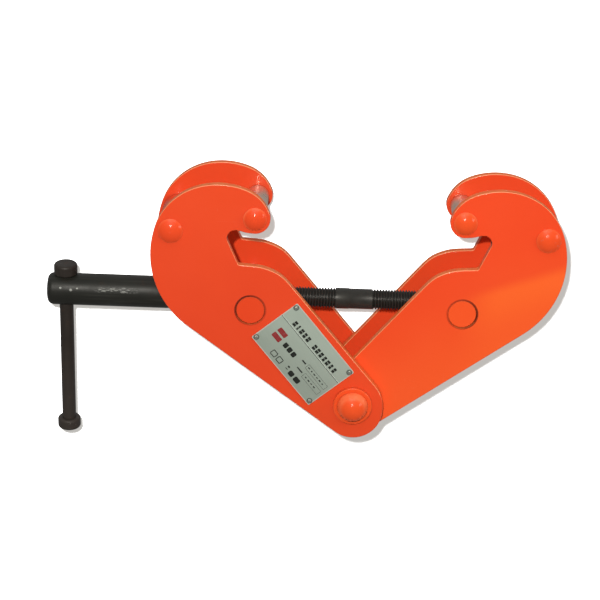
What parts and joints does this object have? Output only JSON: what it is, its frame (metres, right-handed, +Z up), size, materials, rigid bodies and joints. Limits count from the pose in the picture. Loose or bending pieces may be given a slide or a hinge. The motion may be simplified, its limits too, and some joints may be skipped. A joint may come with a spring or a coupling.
{
  "type": "beam clamp",
  "caption": "Screw beam clamp: two hooked double-plate jaws on a load bar, drawn together by a spindle with opposite threads and a sliding tommy bar.",
  "frame": {"origin": "on the load bar's axis, half way between the cheek plates", "axes": "+X along the spindle from the drive end to the free end, +Y along the pins from front to rear, +Z up towards the jaw tips"},
  "size_m": [0.4463, 0.1116, 0.2481],
  "materials": {
    "orange_paint": "glossy sprayed enamel, slight orange peel",
    "orange_fittings": "glossy sprayed enamel over rivet heads, washers, nuts and spacers",
    "bare_steel": "bright turned steel",
    "aluminium_plate": "satin anodised sheet",
    "rivet_metal": "dull drive rivets",
    "black_thread": "blackened, oiled steel thread",
    "black_shank": "blackened steel with bright scuffs",
    "black_handle": "blackened steel",
    "zinc_steel": "dull zinc"
  },
  "bodies": {
    "load_bar": {"load_bar": "orange_fittings", "load_bar_washers": "orange_fittings"},
    "left_jaw": {"left_front_plate": "orange_paint", "left_rear_plate": "orange_paint", "left_tip_rivet": "orange_fittings", "left_back_rivet": "orange_fittings", "left_tip_sleeve": "bare_steel", "left_back_spacer": "orange_fittings", "rating_plate": "aluminium_plate", "rating_plate_rivets": "rivet_metal"},
    "right_jaw": {"right_front_plate": "orange_paint", "right_rear_plate": "orange_paint", "right_tip_rivet": "orange_fittings", "right_back_rivet": "orange_fittings", "right_tip_sleeve": "bare_steel", "right_back_spacer": "orange_fittings"},
    "left_nut": {"left_nut": "orange_fittings"},
    "right_nut": {"right_nut": "orange_fittings"},
    "spindle_stop": {"spindle_stop_washer": "zinc_steel"},
    "spindle": {"spindle": "black_thread", "spindle_shank": "black_shank", "spindle_stop_pin": "zinc_steel"},
    "tommy_bar": {"tommy_bar": "black_handle", "upper_knob": "black_handle", "lower_knob": "black_handle"}
  },
  "joints": [
    {"name": "left_jaw_swing", "type": "hinge", "parent": "load_bar", "child": "left_jaw", "pos_m": [0, 0, 0], "axis": [0, 1, 0], "range_deg": [0, 22.94]},
    {"name": "right_jaw_swing", "type": "hinge", "parent": "load_bar", "child": "right_jaw", "pos_m": [0, 0, 0], "axis": [0, -1, 0], "range_deg": [0, 22.94]},
    {"name": "left_nut_swivel", "type": "hinge", "parent": "left_jaw", "child": "left_nut", "pos_m": [-0.0909, 0, 0.0842], "axis": [0, -1, 0], "range_deg": [0, 22.94]},
    {"name": "right_nut_swivel", "type": "hinge", "parent": "right_jaw", "child": "right_nut", "pos_m": [0.0909, 0, 0.0842], "axis": [0, 1, 0], "range_deg": [0, 22.94]},
    {"name": "spindle_travel", "type": "slide", "parent": "left_nut", "child": "spindle_stop", "axis": [-1, 0, 0], "range_m": [0, 0.04001]},
    {"name": "spindle_turn", "type": "hinge", "parent": "spindle_stop", "child": "spindle", "pos_m": [0, 0, 0.0842], "axis": [1, 0, 0], "range_deg": [0, 5760]},
    {"name": "tommy_slide", "type": "slide", "parent": "spindle", "child": "tommy_bar", "axis": [0, -0.1045, 0.9945], "range_m": [0, 0.1125]}
  ],
  "couplings": [
    {"joint": "left_jaw_swing", "follows": "spindle_turn", "ratio": 0.0039809},
    {"joint": "right_jaw_swing", "follows": "spindle_turn", "ratio": 0.0039809},
    {"joint": "left_nut_swivel", "follows": "spindle_turn", "ratio": 0.0039809},
    {"joint": "right_nut_swivel", "follows": "spindle_turn", "ratio": 0.0039809},
    {"joint": "spindle_travel", "follows": "spindle_turn", "m_per_rad": 0.00039789}
  ]
}
